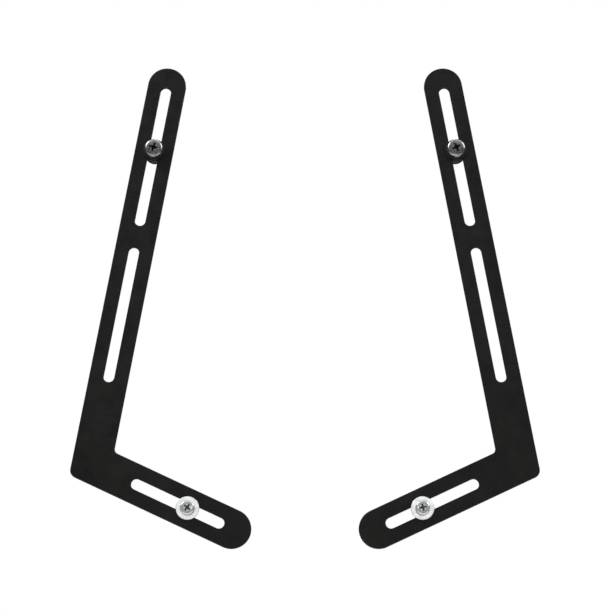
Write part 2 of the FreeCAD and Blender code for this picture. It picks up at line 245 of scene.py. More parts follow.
@dataclass(frozen=True, kw_only=True)
class Finish:
    """A surface finish; each kind adds its own layers.

    Attributes:
        name: what the finish is called in a workshop.
        dark: sRGB colour of its darker patches.
        light: sRGB colour of its lighter patches.
        smooth: roughness of its shinier patches.
        rough: roughness of its duller patches.
        patch_mm: size of its patches of colour.
        sheen_patches: how many patches of sheen lie across one patch of colour.
    """

    name: str
    dark: str
    light: str
    smooth: float
    rough: float
    patch_mm: float
    sheen_patches: int

    def build(self) -> bpy.types.Material:
        """Make the material with its layers.

        Returns:
            The material.
        """
        material = bpy.data.materials.new(self.name)
        material.use_nodes = True
        tree = material.node_tree
        tree.nodes.clear()
        place = add(tree, "TexCoord", {}).outputs["Object"]
        canvas = Canvas(tree, place, add(tree, "BsdfPrincipled", {}))
        add(tree, "OutputMaterial", {"Surface": canvas.shader.outputs["BSDF"]})
        self.layers(canvas)
        return material

    def patches(self, canvas: Canvas) -> bpy.types.NodeSocket:
        """Lay patches of sheen, and of colour over them.

        Args:
            canvas: the material's canvas.

        Returns:
            The colour.
        """
        sheen = canvas.cloud(self.patch_mm / self.sheen_patches)
        canvas.feed("Roughness", canvas.spread(sheen, self.smooth, self.rough))
        return canvas.tint(canvas.cloud(self.patch_mm), self.dark, self.light)

    def layers(self, canvas: Canvas) -> None:
        """Add what this kind of finish shows; each kind has its own."""
        raise NotImplementedError


@dataclass(frozen=True, kw_only=True)
class PowderCoat(Finish):
    """Polyester powder melted onto steel: a thick skin with orange peel, thinner round the edges.

    Attributes:
        ior: index of refraction of its resin.
        thin: sRGB colour where the skin is thin, at the edges.
        peel_mm: width of the orange peel.
        peel_depth_mm: its depth.
        grain_mm: width of the fine grain that makes the coat satin.
        grain_depth_mm: its depth.
    """

    ior: float
    thin: str
    peel_mm: float
    peel_depth_mm: float
    grain_mm: float
    grain_depth_mm: float

    def layers(self, canvas: Canvas) -> None:
        """Add the cure's patches, the thin edges, the peel and the grain.

        Args:
            canvas: the material's canvas.
        """
        canvas.shader.inputs["IOR"].default_value = self.ior
        canvas.feed("Base Color", canvas.toward(RIM, self.patches(canvas), self.thin))
        canvas.relief(
            (canvas.cloud(self.peel_mm, SOFT), self.peel_depth_mm),
            (canvas.cloud(self.grain_mm, FINE), self.grain_depth_mm),
        )


@dataclass(frozen=True, kw_only=True)
class ZincPlate(Finish):
    """Zinc plated in a barrel: bright metal with cloudy spots, dents and hairline scratches, and painted
    shade down in its recesses.

    Attributes:
        metallic: below 1 where a milky passivate scatters some of the light.
        painted_recess_shade: sRGB colour painted down in a recess as shade, darker than the plate.
        dent_mm: width of the shallow dents.
        dent_depth_mm: their depth.
        scratch_mm: spacing of the hairline scratches.
        scratch_depth_mm: their depth.
        scratch_lean: lean of the scratches from the vertical, in radians.
        scratch_squeeze: their spacing as a share of their length.
    """

    metallic: float
    painted_recess_shade: str
    dent_mm: float
    dent_depth_mm: float
    scratch_mm: float
    scratch_depth_mm: float
    scratch_lean: float = 0.6
    scratch_squeeze: float = 0.08

    def layers(self, canvas: Canvas) -> None:
        """Add the spots, the painted shade in the recess, the dents and the scratches.

        Args:
            canvas: the material's canvas.
        """
        canvas.shader.inputs["Metallic"].default_value = self.metallic
        # Painted shade: the colour turns darker down in the head's recess, where the pit attribute rises
        # to 1.
        canvas.feed("Base Color", canvas.toward(PIT, self.patches(canvas), self.painted_recess_shade))
        inputs = {
            "Vector": canvas.place,
            "Rotation": (0, self.scratch_lean, 0),
            "Scale": (1, 1, self.scratch_squeeze),
        }
        stretched = add(canvas.tree, "Mapping", inputs)
        inputs = {"Vector": stretched.outputs["Vector"], "Scale": per_metre(self.scratch_mm)}
        hairlines = add(canvas.tree, "TexNoise", inputs).outputs["Fac"]
        canvas.relief(
            (canvas.cloud(self.dent_mm, SOFT), self.dent_depth_mm),
            (hairlines, self.scratch_depth_mm),
        )


@dataclass(frozen=True, kw_only=True)
class MouldedPlastic(Finish):
    """Injection-moulded plastic with the eroded grain of its mould.

    Attributes:
        ior: index of refraction of the plastic.
        grain_mm: width of the mould's grain.
        grain_depth_mm: its depth.
    """

    ior: float
    grain_mm: float
    grain_depth_mm: float

    def layers(self, canvas: Canvas) -> None:
        """Add the flow patches and the grain.

        Args:
            canvas: the material's canvas.
        """
        canvas.shader.inputs["IOR"].default_value = self.ior
        canvas.feed("Base Color", self.patches(canvas))
        canvas.relief((canvas.cloud(self.grain_mm, FINE), self.grain_depth_mm))


# Polyester powder coat on cut steel, baked to a satin black that leans to olive: it breaks light into
# a broad soft sheen, mottled by the orange peel. The grain of a real satin coat is about 0.2 mm wide
# and is drawn at 1.2 mm, to show.
SATIN_POWDER_COAT = PowderCoat(
    name="satin_black_powder_coat",
    dark="#0c0d0b",
    light="#121310",
    smooth=0.36,
    rough=0.46,
    ior=1.5,
    thin="#1b1c19",
    patch_mm=30,
    sheen_patches=4,
    peel_mm=4.5,
    peel_depth_mm=0.04,
    grain_mm=1.2,
    grain_depth_mm=0.03,
)

# Bright zinc plate with a milky blue-white passivate, on the wide washers and the smaller screws: it
# looks nearly white, and the spots and dents from the barrel break its soft mirror. Its hairlines
# really lie about 0.05 mm apart and are drawn at 0.6 mm, to show.
BRIGHT_ZINC = ZincPlate(
    name="bright_zinc_plate",
    dark="#d3d6d7",
    light="#eeefed",
    smooth=0.08,
    rough=0.14,
    metallic=0.6,
    # Painted shade down in the recess of the head.
    painted_recess_shade="#8c8e8f",
    patch_mm=4,
    sheen_patches=2,
    dent_mm=3.2,
    dent_depth_mm=0.007,
    scratch_mm=0.6,
    scratch_depth_mm=0.0006,
)

# The same plate on the larger screws, dulled to grey by handling; its hairlines are drawn as coarse.
DULL_ZINC = ZincPlate(
    name="dulled_zinc_plate",
    dark="#9c9fa0",
    light="#bfc1c0",
    smooth=0.26,
    rough=0.38,
    metallic=1.0,
    # Painted shade down in the recess of the head.
    painted_recess_shade="#5a5b5c",
    patch_mm=3,
    sheen_patches=2,
    dent_mm=2.6,
    dent_depth_mm=0.012,
    scratch_mm=0.6,
    scratch_depth_mm=0.0015,
)

# Injection-moulded black nylon of the upper washers: a dry low sheen. The mould's grain is really
# about 0.1 mm wide and is drawn at 0.6 mm, to show.
BLACK_NYLON = MouldedPlastic(
    name="moulded_black_nylon",
    dark="#0f0f0f",
    light="#161616",
    smooth=0.48,
    rough=0.6,
    ior=1.53,
    patch_mm=6,
    sheen_patches=3,
    grain_mm=0.6,
    grain_depth_mm=0.015,
)

# Injection-moulded black ABS of the spacer sleeves: smoother and a little shinier than the nylon.
# Its grain is as fine and is drawn at 0.8 mm, to show.
BLACK_ABS = MouldedPlastic(
    name="moulded_black_abs",
    dark="#121212",
    light="#1b1b1b",
    smooth=0.36,
    rough=0.48,
    ior=1.54,
    patch_mm=8,
    sheen_patches=3,
    grain_mm=0.8,
    grain_depth_mm=0.015,
)


class Wardrobe:
    """Makes each finish's material once and hands it out."""

    def __init__(self) -> None:
        """Start with no material made."""
        self.made: dict[str, bpy.types.Material] = {}

    def get(self, finish: Finish) -> bpy.types.Material:
        """Material of a finish, made on its first use.

        Args:
            finish: the finish.

        Returns:
            Its material.
        """
        if finish.name not in self.made:
            self.made[finish.name] = finish.build()
        return self.made[finish.name]


# Mesh helpers


def arc_angles(start: float, end: float, step_degrees: float) -> list[float]:
    """Evenly spaced angles, no further apart than a step.

    Args:
        start: first angle in radians.
        end: last angle in radians.
        step_degrees: the largest step.

    Returns:
        The angles in radians, start and end among them.
    """
    slack = 1e-9  # keeps a rounding error from adding a step
    count = max(1, math.ceil(abs(math.degrees(end - start)) / step_degrees - slack))
    return [start + (end - start) * i / count for i in range(count + 1)]


def bridge(bm: bmesh.types.BMesh, here: list[bmesh.types.BMVert], after: list[bmesh.types.BMVert]) -> None:
    """Join two closed rings of as many vertices by a band of faces.

    Args:
        bm: the mesh.
        here: the first ring.
        after: the second ring.
    """
    for i in range(len(here)):
        j = (i + 1) % len(here)
        bm.faces.new((here[i], here[j], after[j], after[i]))


def close(bm: bmesh.types.BMesh, ring: list[bmesh.types.BMVert], centre: bmesh.types.BMVert) -> None:
    """Close a ring with a fan of faces round a centre.

    Args:
        bm: the mesh.
        ring: the ring.
        centre: the vertex in its middle.
    """
    for here, after in zip(ring, ring[1:] + ring[:1]):
        bm.faces.new((centre, here, after))


def dress(
    bm: bmesh.types.BMesh, name: str, node: str, slot: Slot, material: bpy.types.Material
) -> bpy.types.Object:
    """Turn a finished mesh into the piece that stands for a CAD node.

    Args:
        bm: the mesh, in the frame; it is freed.
        name: the piece's name.
        node: the CAD node that it replaces.
        slot: the record's material slot; not used.
        material: the material that it wears.

    Returns:
        The piece, riding on its body, shaded smooth except across its sharp edges.
    """
    bmesh.ops.recalc_face_normals(bm, faces=bm.faces)
    mesh = bpy.data.meshes.new(name)
    bm.to_mesh(mesh)
    bm.free()
    mesh.polygons.foreach_set("use_smooth", [True] * len(mesh.polygons))
    mesh.set_sharp_from_angle(angle=math.radians(SHARP_ANGLE))
    mesh.materials.append(material)
    piece = bpy.data.objects.new(name, mesh)
    bpy.context.scene.collection.objects.link(piece)
    weighted = piece.modifiers.new("flat_faces_stay_flat", "WEIGHTED_NORMAL")
    weighted.keep_sharp = True
    weighted.weight = BY_LARGEST_FACE
    graph = bpy.context.evaluated_depsgraph_get()
    piece.data = bpy.data.meshes.new_from_object(piece.evaluated_get(graph))
    piece.data.name = name
    piece.modifiers.clear()
    bpy.data.meshes.remove(mesh)
    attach(piece, BODY)
    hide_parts(node)
    log.info("%s: %d faces, wears %s", name, len(piece.data.polygons), material.name)
    return piece


@dataclass(frozen=True)
class Axis:
    """Axis of a turned node, which points along Y.

    Attributes:
        front: where it leaves the node's front face.
        length: the node's length along it.
        radius: the node's outside radius.
    """

    front: Vector
    length: float
    radius: float

    @classmethod
    def of(cls, node: str) -> "Axis":
        """Axis of a node, read from its box in the frame.

        Args:
            node: the node's name.

        Returns:
            Its axis.
        """
        low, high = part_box(node)
        centre = (low + high) / 2
        return cls(Vector((centre.x, low.y, centre.z)), high.y - low.y, (high.x - low.x) / 2)

    def point(self, radius: float, depth: float, angle: float) -> Vector:
        """Point round the axis.

        Args:
            radius: distance from the axis, in metres.
            depth: distance behind the front face, in metres.
            angle: angle round the axis from +X towards +Z.

        Returns:
            The point in the frame.
        """
        return self.front + Vector((radius * math.cos(angle), depth, radius * math.sin(angle)))


# Pieces


@dataclass(frozen=True)
class EdgePoint:
    """Point of a plate's outline, with the normal that leaves the steel there."""

    place: Vector
    normal: Vector


@dataclass(frozen=True)
class Arm:
    """Flat steel arm: a strip with a knee in its own plane and three slots.

    Sizes are in millimetres and degrees. The outline is drawn in the arm's own plane, with the knee
    on the centreline at its origin and the long leg along its second axis.

    Attributes:
        side: which arm of the pair it is.
        strip_width: width of both legs.
        long_leg: long leg, from the knee to its round tip.
        short_leg: short leg, from the knee to its round tip.
        knee_angle: angle between the legs.
        lean: lean of the long leg from the vertical.
        outer_round: round of the knee's outer corner.
        inner_round: round of the knee's inner corner.
        edge_round: round that the coat leaves on the broken edges.
        slot_width: width of all slots.
        top_margin: steel between the long leg's tip and the upper slot.
        upper_slot: length of the upper slot.
        slot_web: steel between the upper and the middle slot.
        middle_slot: length of the middle slot.
        short_slot: length of the short leg's slot.
        short_margin: steel between the short leg's tip and its slot.
        upper_set: distance of the upper screw from the upper slot's top.
        wide_step: degrees between the points of a round as wide as the strip.
        tight_step: degrees between the points of a smaller one.
    """

    side: Side
    strip_width: float = 25.4
    long_leg: float = 270
    short_leg: float = 112
    knee_angle: float = 105
    lean: float = 10
    outer_round: float = 5
    inner_round: float = 3.5
    edge_round: float = 0.45
    slot_width: float = 7
    top_margin: float = 13.7
    upper_slot: float = 96.5
    slot_web: float = 15
    middle_slot: float = 91
    short_slot: float = 65.5
    short_margin: float = 18
    upper_set: float = 43.8
    wide_step: float = 3
    tight_step: float = 7.5

    @property
    def node(self) -> str:
        """Name of the arm's node."""
        return f"{self.side.label}_arm"

    @property
    def long_way(self) -> Vector:
        """Direction of the long leg."""
        return Vector((0, 1))

    @property
    def short_way(self) -> Vector:
        """Direction of the short leg."""
        knee = math.radians(self.knee_angle)
        return Vector((math.sin(knee), math.cos(knee)))

    def corner(self, centre: Vector, radius: float, start: float, end: float) -> Iterator[EdgePoint]:
        """Round stretch of an outline.

        Args:
            centre: centre of the round.
            radius: its radius; a negative one is a hollow corner.
            start: direction of the normal at its start, in radians.
            end: direction of the normal at its end, in radians.

        Yields:
            The points of the round.
        """
        step = self.wide_step if abs(radius) > self.slot_width else self.tight_step
        for angle in arc_angles(start, end, step):
            normal = Vector((math.cos(angle), math.sin(angle)))
            yield EdgePoint(centre + normal * radius, normal)

    def outline(self) -> list[EdgePoint]:
        """Outer loop, anticlockwise from the inner side of the long leg's tip.

        Returns:
            The loop; its straight stretches lie between its rounds.
        """
        half = self.strip_width / 2
        knee = math.radians(self.knee_angle)
        straight = math.pi
        bisector = Vector((math.sin(knee / 2), math.cos(knee / 2)))
        outer_centre = bisector * (self.outer_round - half) / math.sin(knee / 2)
        inner_centre = bisector * (self.inner_round + half) / math.sin(knee / 2)
        long_centre = self.long_way * (self.long_leg - half)
        short_centre = self.short_way * (self.short_leg - half)
        return [
            *self.corner(long_centre, half, 0, straight),
            *self.corner(outer_centre, self.outer_round, straight, 2 * straight - knee),
            *self.corner(short_centre, half, -knee, straight - knee),
            *self.corner(inner_centre, -self.inner_round, straight - knee, 0),
        ]

    def slot_loop(self, way: Vector, far: float, length: float) -> list[EdgePoint]:
        """Loop of one slot.

        Args:
            way: direction of the slot's leg.
            far: distance of its far end from the knee.
            length: its length.

        Returns:
            The loop, whose normals point into the slot.
        """
        half = self.slot_width / 2
        heading = math.atan2(way.y, way.x)
        far_centre = way * (far - half)
        near_centre = way * (far - length + half)
        quarter = math.pi / 2
        return [
            *self.corner(far_centre, -half, heading + quarter, heading + 3 * quarter),
            *self.corner(near_centre, -half, heading - quarter, heading + quarter),
        ]

    def loops(self) -> list[list[EdgePoint]]:
        """Outer loop and the loops of all three slots.

        Returns:
            The loops, the outer one first.
        """
        upper_far = self.long_leg - self.top_margin
        middle_far = upper_far - self.upper_slot - self.slot_web
        return [
            self.outline(),
            self.slot_loop(self.long_way, upper_far, self.upper_slot),
            self.slot_loop(self.long_way, middle_far, self.middle_slot),
            self.slot_loop(self.short_way, self.short_leg - self.short_margin, self.short_slot),
        ]

    def build(self, wardrobe: Wardrobe) -> bpy.types.Object:
        """Model the arm with all its edges rounded by the coat, and dress it.

        Args:
            wardrobe: the materials.

        Returns:
            The piece.
        """
        low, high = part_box(self.node)
        screw = Axis.of(f"{self.side.label}_upper_screw").front
        hung_at = Vector((0, self.long_leg - self.top_margin - self.upper_set))
        lean = Matrix.Rotation(-math.radians(self.lean), 2)
        levels = [
            (self.edge_round * (1 - math.sin(a)), self.edge_round * (1 - math.cos(a)) * MM)
            for a in arc_angles(0, math.pi / 2, SMALL_ROUND_STEP)
        ]

        def place(point: Vector, depth: float) -> Vector:
            """Place in the frame of a point of the arm's plane."""
            off = lean @ (point - hung_at) * MM
            return Vector((screw.x - self.side.value * off.x, depth, screw.z + off.y))

        bm = bmesh.new()
        rim = bm.verts.layers.float.new(RIM)
        faces: dict[float, list[bmesh.types.BMEdge]] = {low.y: [], high.y: []}
        for loop in self.loops():
            rings = []
            front = [(inset, low.y + down) for inset, down in levels]
            back = [(inset, high.y - up) for inset, up in reversed(levels)]
            for inset, depth in front + back:
                ring = [bm.verts.new(place(p.place - p.normal * inset, depth)) for p in loop]
                for vertex in ring:
                    vertex[rim] = 1 - inset / self.edge_round
                rings.append(ring)
            for here, after in zip(rings, rings[1:]):
                bridge(bm, here, after)
            for ring, depth in ((rings[0], low.y), (rings[-1], high.y)):
                faces[depth] += [bm.edges.get(pair) for pair in zip(ring, ring[1:] + ring[:1])]
        for edges in faces.values():
            bmesh.ops.triangle_fill(bm, use_beauty=True, use_dissolve=False, edges=edges)
        material = wardrobe.get(SATIN_POWDER_COAT)
        return dress(bm, f"{self.node}_coated", self.node, Slot.POWDER_COAT, material)


@dataclass(frozen=True)
class Ring:
    """Washer or spacer sleeve with rounded rims; its outside and its length come from the frame.

    Attributes:
        node: the node that it replaces.
        bore: diameter of its bore, in millimetres.
        outer_round: round of its outer rims, in millimetres.
        bore_round: round of its bore's rims, in millimetres.
        slot: the record's material slot.
        finish: the finish that it wears.
        segments: steps round the axis.
    """

    node: str
    bore: float
    outer_round: float
    bore_round: float
    slot: Slot
    finish: Finish
    segments: int = 96

    def section(self, outer: float, length: float) -> list[tuple[float, float]]:
        """Closed section of the ring.

        Args:
            outer: outside radius in metres.
            length: length in metres.

        Returns:
            Pairs of radius and depth in metres.
        """
        inner = self.bore / 2 * MM
        outer_round = self.outer_round * MM
        bore_round = self.bore_round * MM
        quarter = math.pi / 2
        corners = (
            (inner + bore_round, bore_round, bore_round, 2 * quarter),
            (outer - outer_round, outer_round, outer_round, 3 * quarter),
            (outer - outer_round, length - outer_round, outer_round, 0),
            (inner + bore_round, length - bore_round, bore_round, quarter),
        )
        return [
            (across + radius * math.cos(angle), depth + radius * math.sin(angle))
            for across, depth, radius, start in corners
            for angle in arc_angles(start, start + quarter, SMALL_ROUND_STEP)
        ]

    def build(self, wardrobe: Wardrobe) -> bpy.types.Object:
        """Turn the ring and dress it.

        Args:
            wardrobe: the materials.

        Returns:
            The piece.
        """
        axis = Axis.of(self.node)
        angles = [2 * math.pi * i / self.segments for i in range(self.segments)]
        bm = bmesh.new()
        rings = [
            [bm.verts.new(axis.point(radius, depth, angle)) for angle in angles]
            for radius, depth in self.section(axis.radius, axis.length)
        ]
        for here, after in zip(rings, rings[1:] + rings[:1]):
            bridge(bm, here, after)
        return dress(bm, f"{self.node}_turned", self.node, self.slot, wardrobe.get(self.finish))


@dataclass(frozen=True)
class Screw:
    """Pan-head screw with a cross recess and a rolled thread; its two ends come from the frame.

    Sizes are in millimetres and degrees. The whole screw is one skin of rings round its axis, from
    the floor of the recess over the head and down the thread to the flat end.

    Attributes:
        node: the node that it replaces.
        thread: thread diameter.
        pitch: thread pitch.
        reach: length of the thread.
        head_width: diameter of the head.
        head_height: height of the head.
        shank: diameter of the rolled shank.
        turn: angle at which the screw came to a stop.
        finish: the finish that it wears.
        dome_share: how far the head's top drops to its rim, as a share of its height.
        rim_share: height of the rim's round, as a share of the head's height.
        rim_run: width of the rim's round, as a share of its height.
        wing_share: length of the cross, as a share of the head's width.
        wing_width_share: width of its wings, as a share of the head's width.
        wing_depth_share: depth of its wings, as a share of the head's height.
        core_share: mouth of the recess's core, as a share of the head's width.
        core_depth_share: depth of that core, as a share of the head's height.
        lip: round of the recess's mouth.
        blend: width of the band outside the recess in which the rings turn round.
        draft: slope of the wings' ends.
        under_break: break of the head's lower edge.
        fillet: fillet between the head and the shank.
        end_inset: how far the chamfer of the end reaches inside the thread's root.
        thread_depth: depth of a metric thread, as a share of its pitch.
        recess_step: largest angle between the skin's lines.
        rim_step: angle between the rings of the rim's round.
        fillet_step: angle between the rings of the fillet.
    """

    node: str
    thread: float
    pitch: float
    reach: float
    head_width: float
    head_height: float
    shank: float
    turn: float
    finish: Finish
    dome_share: float = 0.12
    rim_share: float = 0.42
    rim_run: float = 0.86
    wing_share: float = 0.54
    wing_width_share: float = 0.11
    wing_depth_share: float = 0.5
    core_share: float = 0.26
    core_depth_share: float = 0.72
    lip: float = 0.08
    blend: float = 0.32
    draft: float = 12
    under_break: float = 0.15
    fillet: float = 0.3
    end_inset: float = 0.2
    thread_depth: float = 0.6134
    recess_step: float = 5
    rim_step: float = 9
    fillet_step: float = 30

    def angles(self) -> list[float]:
        """Directions round the axis, closer together where the recess turns its corners.

        Returns:
            Angles in radians from the first wing, a full turn of them.
        """
        tip = math.atan2(self.wing_width_share, self.wing_share)
        root = math.asin(self.wing_width_share / self.core_share)
        eighth = math.pi / 4
        stretches = ((-eighth, -root), (-root, -tip), (-tip, tip), (tip, root), (root, eighth))
        wing = [a for start, end in stretches for a in arc_angles(start, end, self.recess_step)[:-1]]
        return [angle + quarter * math.pi / 2 for quarter in range(4) for angle in wing]

    def cross(self, reach: float, half_width: float, core: float, angle: float) -> float:
        """Radius of a cross with a round core.

        Args:
            reach: distance of its wings' ends from the axis.
            half_width: half the width of its wings.
            core: radius of its core.
            angle: direction from the first wing.

        Returns:
            Distance from the axis to its outline.
        """
        quarter = math.pi / 2
        off = abs((angle + quarter / 2) % quarter - quarter / 2)
        wing = reach / math.cos(off)
        if off > 0:
            wing = min(wing, half_width / math.sin(off))
        return max(wing, core)

    def dome(self, radius: float) -> float:
        """Drop of the head's domed top at a radius.

        Args:
            radius: distance from the axis.

        Returns:
            Depth below the head's front.
        """
        drop = self.head_height * self.dome_share
        sphere = ((self.head_width / 2) ** 2 + drop**2) / (2 * drop)
        return sphere - math.sqrt(sphere**2 - radius**2)

    @property
    def mouth(self) -> float:
        """Distance from the axis to the ends of the recess's wings."""
        return self.head_width * self.wing_share / 2

    @property
    def round_from(self) -> float:
        """Radius outside the recess from which the head's rings are round."""
        return self.mouth + self.blend

    def recess_rings(self) -> Iterator[list[tuple[float, float]]]:
        """Rings of the cross recess, from its floor up to its mouth.

        Yields:
            For each direction its radius and depth.
        """
        half_width = self.head_width * self.wing_width_share / 2
        core = self.head_width * self.core_share / 2
        wing_floor = self.head_height * self.wing_depth_share
        core_floor = self.head_height * self.core_depth_share
        cone = core_floor - wing_floor
        # Rounded floor of the core: share of the core's mouth, and of the way up to the wings' floor.
        core_levels = ((0.3, 0.0), (0.55, 0.2), (0.72, 0.75))
        for out, up in core_levels:
            yield [(core * out, core_floor - cone * up) for _ in self.angles()]
        # Walls: depth, and the shares of the core's mouth and of the wings' width that are left there.
        wall_levels = ((wing_floor, 0.74, 0.8), (wing_floor / 2, 0.87, 0.9), (self.lip, 1.0, 1.0))
        for depth, core_out, width_out in wall_levels:
            end = self.mouth - depth * math.tan(math.radians(self.draft))
            sizes = (end, half_width * width_out, core * core_out)
            radii = [self.cross(*sizes, angle) for angle in self.angles()]
            yield [(radius, depth + self.dome(radius)) for radius in radii]
        # Rounded mouth: how far out and how deep, as shares of the lip.
        lip_levels = ((0.3, 0.3), (1.0, 0.0))
        for off, depth in lip_levels:
            widened = [size + self.lip * off for size in (self.mouth, half_width, core)]
            radii = [self.cross(*widened, angle) for angle in self.angles()]
            yield [(radius, self.lip * depth + self.dome(radius)) for radius in radii]
        for share in (0.5, 1.0):
            eased = [radius + (self.round_from - radius) * share for radius in radii]
            yield [(radius, self.dome(radius)) for radius in eased]

    def head_rings(self) -> Iterator[tuple[float, float]]:
        """Round rings of the head, from outside the recess to the end of the shank.

        Yields:
            Radius and depth of each ring.
        """
        edge = self.head_width / 2
        rim = self.head_height * self.rim_share
        rim_start = edge - rim * self.rim_run
        for share in (0.5, 1.0):
            radius = self.round_from + (rim_start - self.round_from) * share
            yield radius, self.dome(radius)
        top = self.dome(rim_start)
        for angle in arc_angles(0, math.pi / 2, self.rim_step)[1:]:
            out = (edge - rim_start) * math.sin(angle)
            yield rim_start + out, top + rim * (1 - math.cos(angle))
        yield edge, self.head_height - self.under_break
        yield edge - self.under_break, self.head_height
        for angle in arc_angles(0, math.pi / 2, self.fillet_step):
            away = self.fillet * (1 - math.sin(angle))
            down = self.fillet * (1 - math.cos(angle))
            yield self.shank / 2 + away, self.head_height + down

    @property
    def root(self) -> float:
        """Radius at the root of a metric thread of this diameter and pitch."""
        return self.thread / 2 - self.thread_depth * self.pitch

    def thread_radius(self, height: float, along: float) -> float:
        """Radius of the thread's surface.

        Args:
            height: 0 at the thread's root, 1 on its crest.
            along: distance from the thread's start.

        Returns:
            The radius, risen from the shank at the start and chamfered at the end.
        """
        profile = self.root + (self.thread / 2 - self.root) * height
        risen = min(1.0, along / self.pitch)
        chamfer = self.root - self.end_inset + self.reach - along
        return min(self.shank / 2 * (1 - risen) + profile * risen, chamfer)

    def build(self, wardrobe: Wardrobe) -> bpy.types.Object:
        """Model the screw from its recess to the end of its thread, and dress it.

        Args:
            wardrobe: the materials.

        Returns:
            The piece.
        """
        axis = Axis.of(self.node)
        thread_start = axis.length / MM - self.reach
        angles = self.angles()
        turn = math.radians(self.turn)
        bm = bmesh.new()
        pit = bm.verts.layers.float.new(PIT)
        core_floor = self.head_height * self.core_depth_share

        def vertex(radius: float, depth: float, angle: float) -> bmesh.types.BMVert:
            """New vertex at a radius, depth and direction from the first wing."""
            return bm.verts.new(axis.point(radius * MM, depth * MM, angle - turn))

        rings = [
            [vertex(radius, depth, angle) for (radius, depth), angle in zip(ring, angles)]
            for ring in self.recess_rings()
        ]
        centre = vertex(0, core_floor, 0)
        # The pit attribute masks the painted shade: 0 at the recess's mouth, 1 from halfway down to its
        # floor.
        for recessed in itertools.chain([centre], *rings):
            sunk = (recessed.co.y - axis.front.y) / MM - self.dome(self.mouth)
            recessed[pit] = min(1.0, max(0.0, sunk / (core_floor / 2)))
        round_rings = [*self.head_rings(), (self.shank / 2, thread_start)]
        rings += [[vertex(radius, depth, angle) for angle in angles] for radius, depth in round_rings]
        for here, after in zip(rings, rings[1:]):
            bridge(bm, here, after)
        close(bm, rings[0], centre)
        end_radius = self.root - self.end_inset
        end_ring = [vertex(end_radius, thread_start + self.reach, angle) for angle in angles]
        close(bm, end_ring, vertex(0, thread_start + self.reach, 0))
        self.wind_thread(bm, rings[-1], end_ring, vertex, thread_start)
        material = wardrobe.get(self.finish)
        return dress(bm, f"{self.node}_threaded", self.node, Slot.ZINC_PLATE, material)

    def wind_thread(
        self,
        bm: bmesh.types.BMesh,
        start_ring: list[bmesh.types.BMVert],
        end_ring: list[bmesh.types.BMVert],
        vertex: Callable[[float, float, float], bmesh.types.BMVert],
        thread_start: float,
    ) -> None:
        """Wind the thread between two rings.

        Args:
            bm: the mesh.
            start_ring: ring where the shank ends.
            end_ring: ring where the screw ends.
            vertex: makes a vertex from a radius, a depth and a direction.
            thread_start: depth of the start ring.
        """
        # One pitch of the thread's outline: share of the pitch, and 0 at the root or 1 on the crest.
        profile = ((0.0, 0.0), (0.25, 0.0), (0.5625, 1.0), (0.6875, 1.0))
        angles = self.angles()
        turns = math.ceil(self.reach / self.pitch)
        lines = []
        for row in range(-len(profile), turns * len(profile) + 1):
            whole, part = divmod(row, len(profile))
            phase, height = profile[part]
            line = []
            for i, angle in enumerate(angles):
                along = (whole + phase + (angle - angles[0]) / (2 * math.pi)) * self.pitch
                if along <= 0:
                    line.append(start_ring[i])
                elif along >= self.reach:
                    line.append(end_ring[i])
                else:
                    radius = self.thread_radius(height, along)
                    line.append(vertex(radius, thread_start + along, angle))
            lines.append(line)
        for row, (here, after) in enumerate(zip(lines, lines[1:])):
            # The last column of a line meets the first column of the line one turn further on.
            turn_on = row + len(profile)
            further = [lines[min(line, len(lines) - 1)][0] for line in (turn_on, turn_on + 1)]
            for i, j in zip(range(len(angles)), [*range(1, len(angles)), None]):
                ahead = further if j is None else [here[j], after[j]]
                corners = list(dict.fromkeys((here[i], *ahead, after[i])))
                if len(corners) > 2:
                    bm.faces.new(corners)


# Studio


@dataclass(frozen=True)
class SoftLight:
    """A flat area light that points at the bracket.

    Attributes:
        name: the light's name.
        place: where it stands, in metres.
        width: its width, in metres.
        height: its height, in metres.
        power: its power, in watts.
    """

    name: str
    place: tuple[float, float, float]
    width: float
    height: float
    power: float

    def build(self, target: Vector) -> None:
        """Hang the light and turn it towards the target.

        Args:
            target: the point that it lights.
        """
        data = bpy.data.lights.new(self.name, "AREA")
        data.shape = "RECTANGLE"
        data.size = self.width
        data.size_y = self.height
        data.energy = self.power
        lamp = bpy.data.objects.new(self.name, data)
        lamp.location = self.place
        lamp.rotation_mode = "QUATERNION"
        lamp.rotation_quaternion = (lamp.location - target).to_track_quat("Z", "Y")
        bpy.context.scene.collection.objects.link(lamp)


